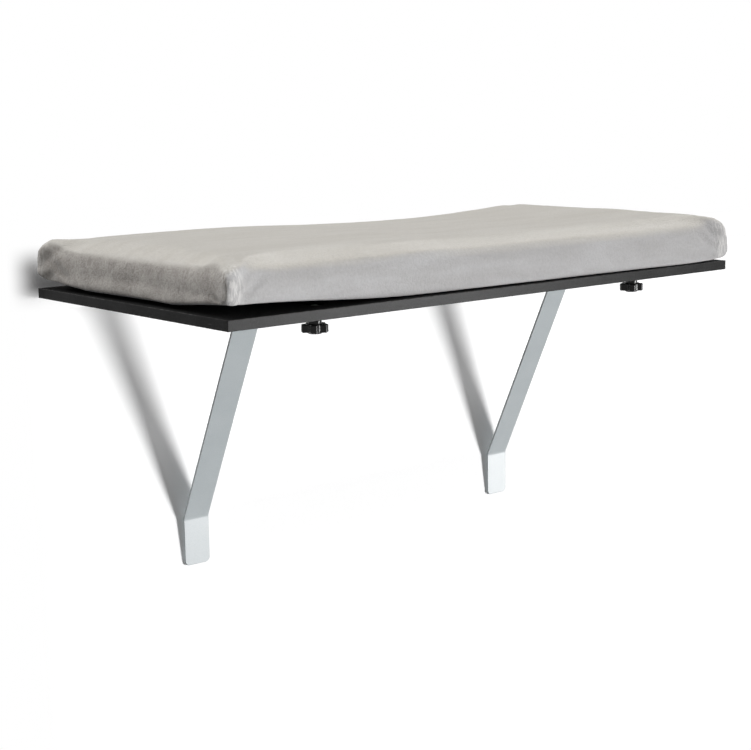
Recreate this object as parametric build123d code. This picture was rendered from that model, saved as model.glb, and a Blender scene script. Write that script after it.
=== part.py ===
from build123d import *
import math
import os

# A padded perch for a window. The rear of its board rests on the window sill,
# and two bent strap brackets under the board brace it from the wall below.
# +X runs along the board, +Y points to the window and +Z is up. The origin is
# on the sill's top, midway along the board, in the plane of the wall below it.
# Lengths are in millimetres and angles in degrees.

os.makedirs("parts", exist_ok=True)

# Board
board_length = 610
board_depth = 305
board_thickness = 9
sill_overlap = 82
band_thickness = 0.8
band_edge_radius = 0.4

# Thin rubber pad under the board's rear, which lies on the sill and on its nose
pad_thickness = 1.5
pad_reach = 16
pad_inset = 8
pad_corner_radius = 4
pad_hole_diameter = 8

# Screw holes for fixing the board's rear to the sill
screw_spacing = 400
screw_setback = 30
screw_hole_diameter = 4.5
screw_sink_diameter = 9
screw_sink_depth = 2.5

# Strap brackets
bracket_spacing = 394
strap_width = 27.5
strap_thickness = 2
bracket_drop = 256
toe_height = 46
arm_lean = 25.5
bend_radius = 8
strap_corner_radius = 5
strap_edge_radius = 0.5
flange_nose = 11
bracket_travel = 50

# Carriage bolts that clamp the brackets in the board's slots
bolt_setback = 31.2
bolt_diameter = 6
bolt_head_diameter = 16
bolt_head_height = 3.4
bolt_neck_width = 6
bolt_neck_height = 3.6
bolt_grip_in_knob = 7.4
bolt_tip_chamfer = 0.6
bolt_hole_clearance = 0.3
slot_side_clearance = 0.3
slot_end_clearance = 2
head_side_clearance = 0.75
head_top_clearance = 0.6

# Guide pins riveted to the brackets
pin_spacing = 48
pin_height = 4.4
pin_chamfer = 0.4
pin_tail_diameter = 4.4
pin_tail_clearance = 0.05
rivet_head_diameter = 8
rivet_head_height = 1.6

# Washers and star knobs
washer_diameter = 12.6
washer_thickness = 1
washer_clearance = 0.2
knob_diameter = 23
knob_height = 7
knob_lobes = 5
knob_lobe_bearing = -133
knob_scallop_radius = 5
knob_scallop_depth = 3
knob_corner_radius = 1.8
knob_edge_chamfer = 0.7
knob_hub_diameter = 11.4
knob_hub_height = 4.4
knob_cap_diameter = 12
knob_cap_height = 1.2
insert_diameter = 8.6
insert_length = 8
insert_clearance = 0.02
insert_groove_depth = 0.5
insert_groove_width = 1.2
thread_clearance = 0.05

# Cushion
cushion_end_inset = 0.5
cushion_side_inset = 0.5
cushion_thickness = 42
cushion_crown = 3
cushion_edge_roll = 10
cushion_corner_radius = 6
cushion_draw_in = 4
cushion_seat_gap = 0.3
cover_thickness = 2
foam_gap = 0.3
foam_corner_radius = 7

# Hook and loop strips between the board and the cushion
strip_length = 300
strip_width = 25
hook_thickness = 1.2
loop_thickness = 1.2
strip_corner_radius = 3
strip_inset = 62
strip_pocket_clearance = 0.6

# Zip along the cushion's rear side
zip_length = 400
zip_flat_depth = 1.2
tape_height = 20
tape_thickness = 0.7
tape_end = 12
zip_slit = 2
tooth_pitch = 8
tooth_width = 2
tooth_depth = 1.2
tooth_reach = 2.6
tooth_overlap = 0.6
stop_width = 2.4
slider_length = 9
slider_wall = 1.1
slider_clearance = 0.4
slider_gap = 0.3
slider_corner_radius = 2
slider_edge_radius = 0.4
bridge_bar_diameter = 1.2
bridge_post_width = 1
pull_bore_clearance = 0.08
pull_barrel_wall = 0.8
pull_barrel_length = 3.4
pull_side_clearance = 0.2
pull_length = 15
pull_thickness = 1
pull_end_width = 6
pull_end_radius = 2
pull_hole_diameter = 2.4

# How far a cutting shape runs past the face that it cuts
overrun = 5

# Places that follow from the sizes above
board_rear = sill_overlap
board_front = sill_overlap - board_depth
board_middle = (board_front + board_rear) / 2
board_base = pad_thickness
board_top = board_base + board_thickness
cushion_length = board_length - 2 * cushion_end_inset
cushion_depth = board_depth - 2 * cushion_side_inset
bolt_y = board_front + bolt_setback
pin_y = bolt_y + pin_spacing
slot_width = bolt_neck_width + 2 * slot_side_clearance
sink_width = bolt_head_diameter + 2 * head_side_clearance
sink_floor = board_top - bolt_head_height - head_top_clearance
flange_bottom = board_base - strap_thickness
knob_top = flange_bottom - washer_thickness
knob_body_top = knob_top - knob_hub_height
knob_bottom = knob_body_top - knob_height
cushion_base = board_top + cushion_seat_gap
cushion_rear = board_middle + cushion_depth / 2
zip_face = cushion_rear - zip_flat_depth
zip_level = cushion_base + cushion_thickness / 2
screw_places = (-screw_spacing / 2, screw_spacing / 2)
strip_rows = {
    "front": board_front + strip_inset,
    "rear": board_rear - strip_inset,
}
sides = {
    "left": -bracket_spacing / 2,
    "right": bracket_spacing / 2,
}


def save(shape, node):
    shape.label = node
    export_step(shape, "parts/" + node + ".step")


def block(x_span, y_span, z_span):
    # A rectangular block between pairs of limits along the three axes.
    size = [high - low for low, high in (x_span, y_span, z_span)]
    centre = [(high + low) / 2 for low, high in (x_span, y_span, z_span)]
    return Pos(*centre) * Box(*size)


def around(centre, width):
    # The limits of a span of this width about a centre.
    return (centre - width / 2, centre + width / 2)


def slot_cut(x, start_y, end_y, width, low_z, high_z):
    # An upright slot along Y whose round ends are centred at start_y and end_y.
    outline = Rot(0, 0, 90) * SlotCenterToCenter(end_y - start_y, width)
    return Pos(x, (start_y + end_y) / 2, low_z) * extrude(outline, high_z - low_z)


# Board

def make_board_panel():
    # The panel inside its edge bands, with a stepped slot over each bracket: the bolt's
    # head slides in the wide upper part, its neck and the guide pin in the narrow one.
    panel = block(
        around(0, board_length - 2 * band_thickness),
        (board_front + band_thickness, board_rear - band_thickness),
        (board_base, board_top),
    )
    for x in sides.values():
        slot_start = bolt_y - slot_end_clearance
        slot_end = pin_y + bracket_travel + slot_end_clearance
        panel -= slot_cut(x, slot_start, slot_end, slot_width, board_base - overrun, board_top + overrun)
        sink_end = bolt_y + bracket_travel
        panel -= slot_cut(x, bolt_y, sink_end, sink_width, sink_floor, board_top + overrun)
    for x in screw_places:
        hole = Pos(x, board_rear - screw_setback, board_top) * CounterSinkHole(
            radius=screw_hole_diameter / 2,
            counter_sink_radius=screw_sink_diameter / 2,
            depth=board_thickness + overrun,
            counter_sink_angle=screw_sink_angle(),
        )
        panel -= hole
    return panel


def screw_sink_angle():
    # The angle of a cone that narrows from the sink's width to the hole's in its depth.
    narrowing = (screw_sink_diameter - screw_hole_diameter) / 2
    return 2 * math.degrees(math.atan2(narrowing, screw_sink_depth))


def make_sill_pad():
    # A sheet glued under the board, with holes that the sill screws pass through freely.
    pad = block(
        around(0, board_length - 2 * pad_inset),
        (-pad_reach, board_rear - pad_inset),
        (0, pad_thickness),
    )
    pad = fillet(pad.edges().filter_by(Axis.Z), pad_corner_radius)
    for x in screw_places:
        pad -= Pos(x, board_rear - screw_setback, 0) * Cylinder(pad_hole_diameter / 2, pad_thickness + overrun)
    return pad


def make_long_band(outer_y, inner_y):
    # The front or rear band, which runs the board's whole length.
    band = block(around(0, board_length), sorted((outer_y, inner_y)), (board_base, board_top))
    outer_face = band.faces().sort_by(Axis.Y)[0 if outer_y < inner_y else -1]
    return fillet(outer_face.edges(), band_edge_radius)


def make_end_band(outer_x, inner_x):
    # A band on one end of the board, which butts against the long bands.
    band = block(
        sorted((outer_x, inner_x)),
        (board_front + band_thickness, board_rear - band_thickness),
        (board_base, board_top),
    )
    outer_face = band.faces().sort_by(Axis.X)[0 if outer_x < inner_x else -1]
    return fillet(outer_face.edges().filter_by(Axis.Y), band_edge_radius)


# Brackets

def make_bracket(x):
    # A strap bent twice: a flange under the board, a leaning arm and an upright toe.
    # The outline is drawn in the YZ plane about the strap's middle line, down from
    # the board's underside.
    half = strap_thickness / 2
    bend_z = toe_height - bracket_drop
    rise = -half - bend_z
    flange_corner_y = -half - rise * math.tan(math.radians(arm_lean))
    middle_line = FilletPolyline(
        (bolt_y - flange_nose, -half),
        (flange_corner_y, -half),
        (-half, bend_z),
        (-half, -bracket_drop),
        radius=bend_radius + half,
    )
    profile = trace(middle_line, line_width=strap_thickness)
    strap = extrude(Plane.YZ * profile, strap_width / 2, both=True)
    nose_corners = strap.edges().filter_by(Axis.Z).group_by(Axis.Y)[0]
    toe_corners = strap.edges().filter_by(Axis.Y).group_by(Axis.Z)[0]
    strap = fillet(nose_corners + toe_corners, strap_corner_radius)
    strap = fillet(rim_edges(strap), strap_edge_radius)
    for y, diameter in (
        (bolt_y, bolt_diameter + 2 * bolt_hole_clearance),
        (pin_y, pin_tail_diameter + 2 * pin_tail_clearance),
    ):
        strap -= Pos(0, y, -half) * Cylinder(diameter / 2, strap_thickness + overrun)
    return Pos(x, 0, board_base) * strap


def rim_edges(strap):
    # The edges round the strap's two broad faces, without the lines where its bends
    # start and end and the short lines through its thickness.
    nose_y = strap.bounding_box().min.Y
    toe_z = strap.bounding_box().min.Z
    kept = []
    for edge in strap.edges():
        middle = edge.center()
        across = abs(edge.tangent_at(0).X) > math.cos(math.radians(1)) and edge.geom_type == GeomType.LINE
        at_an_end = abs(middle.Y - nose_y) < strap_edge_radius or abs(middle.Z - toe_z) < strap_edge_radius
        through = math.isclose(edge.length, strap_thickness, rel_tol=0.001)
        if through or (across and not at_an_end):
            continue
        kept.append(edge)
    return kept


def make_guide_pin(x):
    # A shouldered rivet: its shoulder rides in the board's slot, and its tail is
    # spread into a dome under the flange.
    tail_radius = pin_tail_diameter / 2
    head_radius = rivet_head_diameter / 2
    shoulder_radius = bolt_neck_width / 2
    outline = make_face(
        Polyline(
            (0, -strap_thickness - rivet_head_height),
            (0, pin_height),
            (shoulder_radius - pin_chamfer, pin_height),
            (shoulder_radius, pin_height - pin_chamfer),
            (shoulder_radius, 0),
            (tail_radius, 0),
            (tail_radius, -strap_thickness),
            (head_radius, -strap_thickness),
        )
        + dome_arc(head_radius, -strap_thickness, -rivet_head_height)
    )
    return Pos(x, pin_y, board_base) * turned(outline)


def dome_arc(radius, rim_level, rise):
    # The arc of a domed head from its rim to its crown on the axis, up or down.
    sphere = (radius ** 2 + rise ** 2) / (2 * abs(rise))
    reach = math.copysign(sphere, rise)
    half_angle = math.asin(radius / sphere) / 2
    middle = (
        sphere * math.sin(half_angle),
        rim_level + rise - reach + reach * math.cos(half_angle),
    )
    return ThreePointArc((radius, rim_level), middle, (0, rim_level + rise))


def turned(outline):
    # A solid turned about the Z axis from half its section, drawn as radius and height.
    return revolve(Plane.XZ * outline, Axis.Z)


def make_carriage_bolt(x):
    # The domed head and square neck sit in the board's stepped slot, and the shank
    # goes down through the flange and the washer into the knob.
    tip = knob_top - bolt_grip_in_knob
    shank_radius = bolt_diameter / 2
    head_radius = bolt_head_diameter / 2
    outline = make_face(
        Polyline(
            (0, sink_floor + bolt_head_height),
            (0, tip),
            (shank_radius - bolt_tip_chamfer, tip),
            (shank_radius, tip + bolt_tip_chamfer),
            (shank_radius, sink_floor),
            (head_radius, sink_floor),
        )
        + dome_arc(head_radius, sink_floor, bolt_head_height)
    )
    neck = block(
        around(0, bolt_neck_width),
        around(0, bolt_neck_width),
        (sink_floor - bolt_neck_height, sink_floor),
    )
    return Pos(x, bolt_y, 0) * (turned(outline) + neck)


# Washers and knobs

def make_washer(x):
    ring = Cylinder(washer_diameter / 2, washer_thickness)
    ring -= Cylinder(bolt_diameter / 2 + washer_clearance, washer_thickness + overrun)
    return Pos(x, bolt_y, flange_bottom - washer_thickness / 2) * ring


def make_knob(x):
    # A moulded star knob: scallops between its lobes, a hub that bears on the washer,
    # a shallow cap below and a pocket for the threaded insert. The bearing of its
    # first lobe is an angle about Z from +X.
    radius = knob_diameter / 2
    scallop_centre = radius - knob_scallop_depth + knob_scallop_radius
    star = Circle(radius)
    for index in range(knob_lobes):
        turn = knob_lobe_bearing + (index + 0.5) * 360 / knob_lobes
        star -= Rot(0, 0, turn) * Pos(scallop_centre, 0) * Circle(knob_scallop_radius)
    star = fillet(star.vertices(), knob_corner_radius)
    body = Pos(0, 0, knob_bottom) * extrude(star, knob_height)
    ends = body.faces().filter_by(Axis.Z)
    body = chamfer(ends.edges(), knob_edge_chamfer)
    hub = Pos(0, 0, knob_body_top - overrun / 2) * Cylinder(
        knob_hub_diameter / 2,
        knob_hub_height + overrun / 2,
        align=(Align.CENTER, Align.CENTER, Align.MIN),
    )
    cap = Pos(0, 0, knob_bottom - knob_cap_height) * Cylinder(
        knob_cap_diameter / 2,
        knob_cap_height + knob_edge_chamfer,
        align=(Align.CENTER, Align.CENTER, Align.MIN),
    )
    cap = chamfer(cap.edges().sort_by(Axis.Z)[0], knob_cap_height / 2)
    pocket = Pos(0, 0, knob_top - insert_length) * Cylinder(
        insert_diameter / 2 + insert_clearance,
        insert_length + overrun,
        align=(Align.CENTER, Align.CENTER, Align.MIN),
    )
    return Pos(x, bolt_y, 0) * (body + hub + cap - pocket)


def make_knob_insert(x):
    # A turned nut pressed into the knob, with a groove round its middle that the
    # plastic grips.
    outer = insert_diameter / 2
    groove = outer - insert_groove_depth
    bore = bolt_diameter / 2 + thread_clearance
    bottom = knob_top - insert_length
    middle = knob_top - insert_length / 2
    outline = make_face(
        Polyline(
            (bore, bottom),
            (outer, bottom),
            (outer, middle - insert_groove_width / 2),
            (groove, middle - insert_groove_width / 2),
            (groove, middle + insert_groove_width / 2),
            (outer, middle + insert_groove_width / 2),
            (outer, knob_top),
            (bore, knob_top),
            close=True,
        )
    )
    return Pos(x, bolt_y, 0) * turned(outline)


# Hook and loop strips

def make_strip(row_y, low_z, thickness):
    outline = RectangleRounded(strip_length, strip_width, strip_corner_radius)
    return Pos(0, row_y, low_z) * extrude(outline, thickness)


# Cushion

# Each row gives one level of the cushion's side: its height as a share of the
# thickness, and how far it lies inside the widest level as a share of the edge roll.
side_level_shares = (
    (0, 1.0),
    (0.06, 0.5),
    (0.18, 0.12),
    (0.45, 0.0),
    (0.76, 0.08),
    (0.92, 0.34),
    (1.02, 0.8),
    (1.12, 1.6),
)

# Each row gives one station along the cushion: its place as a share of the length
# from the middle, and the height of its front edge, crown and rear edge as shares of
# the thickness. The rear edge dips where the foam has been lain on.
crown_station_shares = (
    (-0.56, 0.97, 0.98, 0.97),
    (-0.4, 0.99, 1.02, 1.0),
    (-0.15, 1.0, 1.02, 1.0),
    (0.16, 1.0, 0.98, 0.92),
    (0.38, 1.0, 1.03, 1.0),
    (0.56, 1.0, 1.02, 1.0),
)


def cushion_outline(level, inset, corner_radius):
    # One level of the cushion, with rounded corners. The front and the two ends are
    # drawn in at their middles, and the zip tape keeps the rear straight.
    half_x = cushion_length / 2 - inset
    half_y = cushion_depth / 2 - inset
    straight_x = half_x - corner_radius
    straight_y = half_y - corner_radius
    knuckle = corner_radius * math.cos(math.radians(45))

    def corner(turn_x, turn_y, start, end):
        middle = (turn_x * (straight_x + knuckle), turn_y * (straight_y + knuckle))
        return ThreePointArc(start, middle, end)

    edges = Curve() + [
        ThreePointArc((-straight_x, -half_y), (0, cushion_draw_in - half_y), (straight_x, -half_y)),
        corner(1, -1, (straight_x, -half_y), (half_x, -straight_y)),
        ThreePointArc((half_x, -straight_y), (half_x - cushion_draw_in, 0), (half_x, straight_y)),
        corner(1, 1, (half_x, straight_y), (straight_x, half_y)),
        Line((straight_x, half_y), (-straight_x, half_y)),
        corner(-1, 1, (-straight_x, half_y), (-half_x, straight_y)),
        ThreePointArc((-half_x, straight_y), (cushion_draw_in - half_x, 0), (-half_x, -straight_y)),
        corner(-1, -1, (-half_x, -straight_y), (-straight_x, -half_y)),
    ]
    return Pos(0, board_middle, level) * make_face(edges)


def crown_section(x_share, front_share, crown_share, rear_share, inset):
    # A slice across the cushion under its crowned top, wider than the cushion.
    x = x_share * cushion_length
    front = board_middle - cushion_depth / 2 - overrun
    rear = board_middle + cushion_depth / 2 + overrun
    low = cushion_base - overrun
    front_z = cushion_base + front_share * cushion_thickness - inset
    crown_z = cushion_base + crown_share * cushion_thickness + cushion_crown - inset
    rear_z = cushion_base + rear_share * cushion_thickness - inset
    edges = Curve() + [
        Polyline((x, front, front_z), (x, front, low), (x, rear, low), (x, rear, rear_z)),
        ThreePointArc((x, rear, rear_z), (x, board_middle, crown_z), (x, front, front_z)),
    ]
    return make_face(edges)


def cushion_form(inset, base_radius):
    # The crowned cushion, or the same form this far inside it, whose upright corners
    # have this radius at the widest level.
    height = cushion_thickness - 2 * inset
    levels = []
    for height_share, inset_share in side_level_shares:
        level = cushion_base + inset + height_share * height
        narrowing = inset + inset_share * cushion_edge_roll
        corner_radius = base_radius + inset_share * cushion_edge_roll
        levels.append(cushion_outline(level, narrowing, corner_radius))
    sides_form = loft(levels)
    crown_form = loft([crown_section(*shares, inset) for shares in crown_station_shares])
    return sides_form & crown_form


def strip_space(row_y, margin, low_z, high_z):
    # The space over one pair of strips, with this margin round them.
    return block(around(0, strip_length + 2 * margin), around(row_y, strip_width + 2 * margin), (low_z, high_z))


def make_cushion():
    # The plush cover is a shell about the foam. It is dented over the strips, flat
    # under the zip tape, and slit behind the zip's teeth.
    strips_top = board_top + hook_thickness + loop_thickness
    dent_margin = strip_pocket_clearance + cover_thickness
    dent_top = strips_top + cover_thickness
    outer = cushion_form(0, cushion_corner_radius)
    cover = outer - cushion_form(cover_thickness, cushion_corner_radius - cover_thickness)
    foam = cushion_form(cover_thickness + foam_gap, foam_corner_radius)
    for row_y in strip_rows.values():
        cover += outer & strip_space(row_y, dent_margin, board_base, dent_top)
        cover -= strip_space(row_y, strip_pocket_clearance, board_base, strips_top)
        foam -= strip_space(row_y, dent_margin + foam_gap, board_base, dent_top + foam_gap)
    tape_span = around(0, zip_length + 2 * tape_end + 2 * strip_pocket_clearance)
    tape_rows = around(zip_level, tape_height + 2 * strip_pocket_clearance)
    cover -= block(tape_span, (zip_face, cushion_rear + overrun), tape_rows)
    cover -= block(around(0, zip_length), (zip_face - overrun, cushion_rear), around(zip_level, zip_slit))
    return cover, foam


# Zip

def make_zip_tape():
    tape = block(
        around(0, zip_length + 2 * tape_end),
        (zip_face, zip_face + tape_thickness),
        around(zip_level, tape_height),
    )
    return fillet(tape.edges().filter_by(Axis.Y), strip_corner_radius)


def make_zip_teeth():
    # Two rows of moulded teeth that interleave along the middle of the tape.
    face = zip_face + tape_thickness
    teeth = []
    count = int(zip_length / tooth_pitch)
    for index in range(count):
        x = (index + 0.5) * tooth_pitch - zip_length / 2
        for shift, low, high in (
            (-tooth_pitch / 4, -tooth_overlap, tooth_reach),
            (tooth_pitch / 4, -tooth_reach, tooth_overlap),
        ):
            teeth.append(
                block(
                    around(x + shift, tooth_width),
                    (face, face + tooth_depth),
                    (zip_level + low, zip_level + high),
                )
            )
    return Compound(children=teeth)


def make_zip_stops():
    face = zip_face + tape_thickness
    stops = []
    for side in (-1, 1):
        x = side * (zip_length + stop_width + tooth_width) / 2
        stop = block(around(x, stop_width), (face, face + tooth_depth), around(zip_level, 2 * tooth_reach))
        stops.append(stop)
    return Compound(children=stops)


slider_x = -zip_length / 2 + slider_length / 2 + tooth_width
channel_top = zip_face + tape_thickness + tooth_depth + slider_clearance
slider_face = channel_top + slider_wall
barrel_radius = bridge_bar_diameter / 2 + pull_bore_clearance + pull_barrel_wall
bar_y = slider_face + slider_gap + barrel_radius
bar_span = pull_barrel_length + 2 * pull_side_clearance


def make_zip_slider():
    # A channel that straddles the teeth, with two posts and a bar for the pull.
    channel_half = tooth_reach + slider_clearance
    shell = block(
        around(slider_x, slider_length),
        (zip_face + tape_thickness + slider_gap, slider_face),
        around(zip_level, 2 * (channel_half + slider_wall)),
    )
    shell = fillet(shell.edges().filter_by(Axis.Y), slider_corner_radius)
    shell = fillet(shell.faces().sort_by(Axis.Y)[-1].edges(), slider_edge_radius)
    shell -= block(
        around(slider_x, slider_length + overrun),
        (zip_face, channel_top),
        around(zip_level, 2 * channel_half),
    )
    for side in (-1, 1):
        post_x = slider_x + side * (bar_span + bridge_post_width) / 2
        post = block(
            around(post_x, bridge_post_width),
            (slider_face - slider_wall / 2, bar_y),
            around(zip_level, bridge_bar_diameter),
        )
        eye = Pos(post_x, bar_y, zip_level) * Rot(0, 90, 0) * Cylinder(bridge_bar_diameter / 2, bridge_post_width)
        shell += post + eye
    bar = Pos(slider_x, bar_y, zip_level) * Rot(0, 90, 0) * Cylinder(bridge_bar_diameter / 2, bar_span)
    return shell + bar


def make_zip_pull():
    # A flat tab that widens downwards from a barrel round the slider's bar.
    barrel = Rot(0, 90, 0) * Cylinder(barrel_radius, pull_barrel_length)
    tab_outline = make_face(
        Polyline(
            (-pull_barrel_length / 2, 0),
            (pull_barrel_length / 2, 0),
            (pull_end_width / 2, -pull_length),
            (-pull_end_width / 2, -pull_length),
            close=True,
        )
    )
    tab_outline = fillet(tab_outline.vertices().group_by(Axis.Y)[0], pull_end_radius)
    tab_outline -= Pos(0, pull_hole_diameter - pull_length) * Circle(pull_hole_diameter / 2)
    tab = extrude(Plane.XZ * tab_outline, pull_thickness / 2, both=True)
    bore = Rot(0, 90, 0) * Cylinder(bridge_bar_diameter / 2 + pull_bore_clearance, pull_barrel_length + overrun)
    return Pos(slider_x, bar_y, zip_level) * (barrel + tab - bore)


save(make_board_panel(), "board_panel")
save(make_sill_pad(), "sill_pad")
save(make_long_band(board_front, board_front + band_thickness), "edge_band_front")
save(make_long_band(board_rear, board_rear - band_thickness), "edge_band_rear")
save(make_end_band(-board_length / 2, band_thickness - board_length / 2), "edge_band_left")
save(make_end_band(board_length / 2, board_length / 2 - band_thickness), "edge_band_right")
for side, x in sides.items():
    save(make_bracket(x), "bracket_" + side)
    save(make_guide_pin(x), "guide_pin_" + side)
    save(make_carriage_bolt(x), "carriage_bolt_" + side)
    save(make_washer(x), "washer_" + side)
    save(make_knob(x), "knob_" + side)
    save(make_knob_insert(x), "knob_insert_" + side)
for row, row_y in strip_rows.items():
    save(make_strip(row_y, board_top, hook_thickness), "hook_strip_" + row)
    save(make_strip(row_y, board_top + hook_thickness, loop_thickness), "loop_strip_" + row)
cushion_cover, cushion_foam = make_cushion()
save(cushion_cover, "cushion_cover")
save(cushion_foam, "cushion_foam")
save(make_zip_tape(), "zipper_tape")
save(make_zip_teeth(), "zipper_teeth")
save(make_zip_stops(), "zipper_stops")
save(make_zip_slider(), "zipper_slider")
save(make_zip_pull(), "zipper_pull")
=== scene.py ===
import bpy
import bmesh
import math
import numpy as np
from mathutils import Matrix, Vector


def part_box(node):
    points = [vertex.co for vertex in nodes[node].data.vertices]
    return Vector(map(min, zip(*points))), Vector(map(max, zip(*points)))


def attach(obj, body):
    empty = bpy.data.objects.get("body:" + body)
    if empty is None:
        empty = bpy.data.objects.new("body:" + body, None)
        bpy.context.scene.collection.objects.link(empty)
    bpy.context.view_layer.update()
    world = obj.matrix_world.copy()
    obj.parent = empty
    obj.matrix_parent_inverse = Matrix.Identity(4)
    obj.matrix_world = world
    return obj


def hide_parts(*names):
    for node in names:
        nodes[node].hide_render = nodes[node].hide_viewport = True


# A padded window perch: a black board with its rear on the sill, two bent strap
# brackets with star knobs below it, and a plush cushion on top. The pieces follow in
# the order in which the perch is put together. Lengths are in metres.

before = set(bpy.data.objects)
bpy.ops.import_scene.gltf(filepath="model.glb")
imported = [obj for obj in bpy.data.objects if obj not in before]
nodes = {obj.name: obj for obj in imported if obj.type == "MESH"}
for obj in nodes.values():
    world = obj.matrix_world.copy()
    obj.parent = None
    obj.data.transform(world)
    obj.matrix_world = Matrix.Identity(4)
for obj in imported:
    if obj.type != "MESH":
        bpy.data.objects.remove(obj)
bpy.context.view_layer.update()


# Board panel
# A sheet of fibreboard faced in black melamine with a fine pebbled grain. It is sawn
# to size, then the stepped bolt slots and the countersunk screw holes are cut, which
# leaves the black-stained core open on their walls.

def new_finish(name):
    # A material, its node tree and the shader that its patterns feed.
    finish = bpy.data.materials.new(name)
    finish.use_nodes = True
    return finish, finish.node_tree, finish.node_tree.nodes["Principled BSDF"]


def feed(tree, sockets, values):
    # Sets each input socket to its value, or links it where the value is an output.
    for socket, value in values.items():
        if isinstance(value, bpy.types.NodeSocket):
            tree.links.new(value, sockets[socket])
        else:
            sockets[socket].default_value = value


def add(tree, kind, values, **settings):
    # A node with its settings and the values of its input sockets.
    node = tree.nodes.new(kind)
    for name, value in settings.items():
        setattr(node, name, value)
    feed(tree, node.inputs, values)
    return node


def math_node(tree, operation, first, second=0.0):
    return add(tree, "ShaderNodeMath", {0: first, 1: second}, operation=operation).outputs[0]


def times(tree, first, second):
    return math_node(tree, "MULTIPLY", first, second)


def plus(tree, first, second):
    return math_node(tree, "ADD", first, second)


def mix_colours(tree, share, first, second):
    return add(tree, "ShaderNodeMix", {0: share, 6: first, 7: second}, data_type="RGBA").outputs[2]


def ramp(tree, value, low, high, to_low=0.0, to_high=1.0):
    # The value spread from one span to another, smoothly and held at both ends.
    spans = {0: value, 1: low, 2: high, 3: to_low, 4: to_high}
    return add(tree, "ShaderNodeMapRange", spans, interpolation_type="SMOOTHSTEP").outputs[0]


def along_axes(tree, vector):
    # The vector's shares along X, Y and Z.
    return add(tree, "ShaderNodeSeparateXYZ", {0: vector}).outputs


def stretched(tree, vector, scale):
    # Pattern coordinates stretched along the piece's own axes.
    return add(tree, "ShaderNodeMapping", {"Vector": vector, "Scale": scale}).outputs[0]


def noise(tree, place, scale, detail, **more):
    # Cloudy noise of a given scale and detail.
    values = {"Vector": place, "Scale": scale, "Detail": detail, **more}
    return add(tree, "ShaderNodeTexNoise", values).outputs[0]


def places(tree):
    # The piece's own coordinates and the way that its surface faces.
    outputs = add(tree, "ShaderNodeTexCoord", {}).outputs
    return outputs["Object"], outputs["Normal"]


def new_group(name, inputs, outputs):
    # An empty node group with named sockets, as (name, kind, default) and (name, kind).
    tree = bpy.data.node_groups.new(name, "ShaderNodeTree")
    for label, kind, default in inputs:
        socket = tree.interface.new_socket(name=label, in_out="INPUT", socket_type=kind)
        if default is not None:
            socket.default_value = default
    for label, kind in outputs:
        tree.interface.new_socket(name=label, in_out="OUTPUT", socket_type=kind)
    return tree, tree.nodes.new("NodeGroupInput").outputs, tree.nodes.new("NodeGroupOutput").inputs


def put_group(tree, group, values):
    return add(tree, "ShaderNodeGroup", values, node_tree=group).outputs


def bump(tree, shader, height, distance, strength=1.0):
    relief = add(tree, "ShaderNodeBump", {
        "Height": height, "Distance": distance, "Strength": strength})
    tree.links.new(relief.outputs[0], shader.inputs["Normal"])


def grey(level):
    return (level, level, level, 1.0)


def dress(names, finish):
    # Gives CAD pieces a finish in place of the plain colour that they came with.
    for name in names:
        mesh = nodes[name].data
        mesh.materials.clear()
        mesh.materials.append(finish)


FLOAT, COLOUR, VECTOR = "NodeSocketFloat", "NodeSocketColor", "NodeSocketVector"


def make_grain_group():
    # Fine pebbles over slow patches: moulded plastic, melamine and powder paint.
    tree, at, out = new_group(
        "fine_grain",
        [("Place", VECTOR, None), ("Scale", FLOAT, 900.0),
         ("Dark", COLOUR, grey(0.01)), ("Light", COLOUR, grey(0.03)),
         ("Smooth", FLOAT, 0.4), ("Rough", FLOAT, 0.6), ("Patch Scale", FLOAT, 14.0)],
        [("Colour", COLOUR), ("Roughness", FLOAT), ("Height", FLOAT)],
    )
    pebbles = noise(tree, at["Place"], at["Scale"], 3.0)
    patches = noise(tree, at["Place"], at["Patch Scale"], 5.0)
    pebble = ramp(tree, pebbles, 0.34, 0.66)
    patch = ramp(tree, patches, 0.3, 0.7)
    both = plus(tree, times(tree, pebble, 0.6), times(tree, patch, 0.4))
    roughness = add(tree, "ShaderNodeMapRange", {0: both, 3: at["Smooth"], 4: at["Rough"]})
    feed(tree, out, {
        "Colour": mix_colours(tree, both, at["Dark"], at["Light"]),
        "Roughness": roughness.outputs[0],
        "Height": pebble})
    return tree


def make_scuff_group():
    # Long thin scratches in two directions, and a little dust that settles from above.
    tree, at, out = new_group(
        "scuffs_and_dust",
        [("Place", VECTOR, None), ("Facing", VECTOR, None), ("Scale", FLOAT, 60.0)],
        [("Scratches", FLOAT), ("Dust", FLOAT)],
    )
    marks = []
    for stretch in ((1.0, 26.0, 26.0), (22.0, 1.4, 22.0)):
        lines = noise(tree, stretched(tree, at["Place"], stretch), at["Scale"], 2.0)
        marks.append(ramp(tree, lines, 0.70, 0.76))
    specks = noise(tree, at["Place"], 420.0, 4.0)
    upward = along_axes(tree, at["Facing"])[2]
    feed(tree, out, {
        "Scratches": math_node(tree, "MAXIMUM", *marks),
        "Dust": times(tree, ramp(tree, specks, 0.56, 0.74), ramp(tree, upward, 0.3, 0.9))})
    return tree


grain = make_grain_group()
scuffs = make_scuff_group()


def put_grain(tree, place, scale, dark, light, smooth, rough, patch_scale):
    return put_group(tree, grain, {
        "Place": place, "Scale": scale, "Dark": dark, "Light": light,
        "Smooth": smooth, "Rough": rough, "Patch Scale": patch_scale})


def put_scuffs(tree, place, facing, scale):
    return put_group(tree, scuffs, {"Place": place, "Facing": facing, "Scale": scale})


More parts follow.
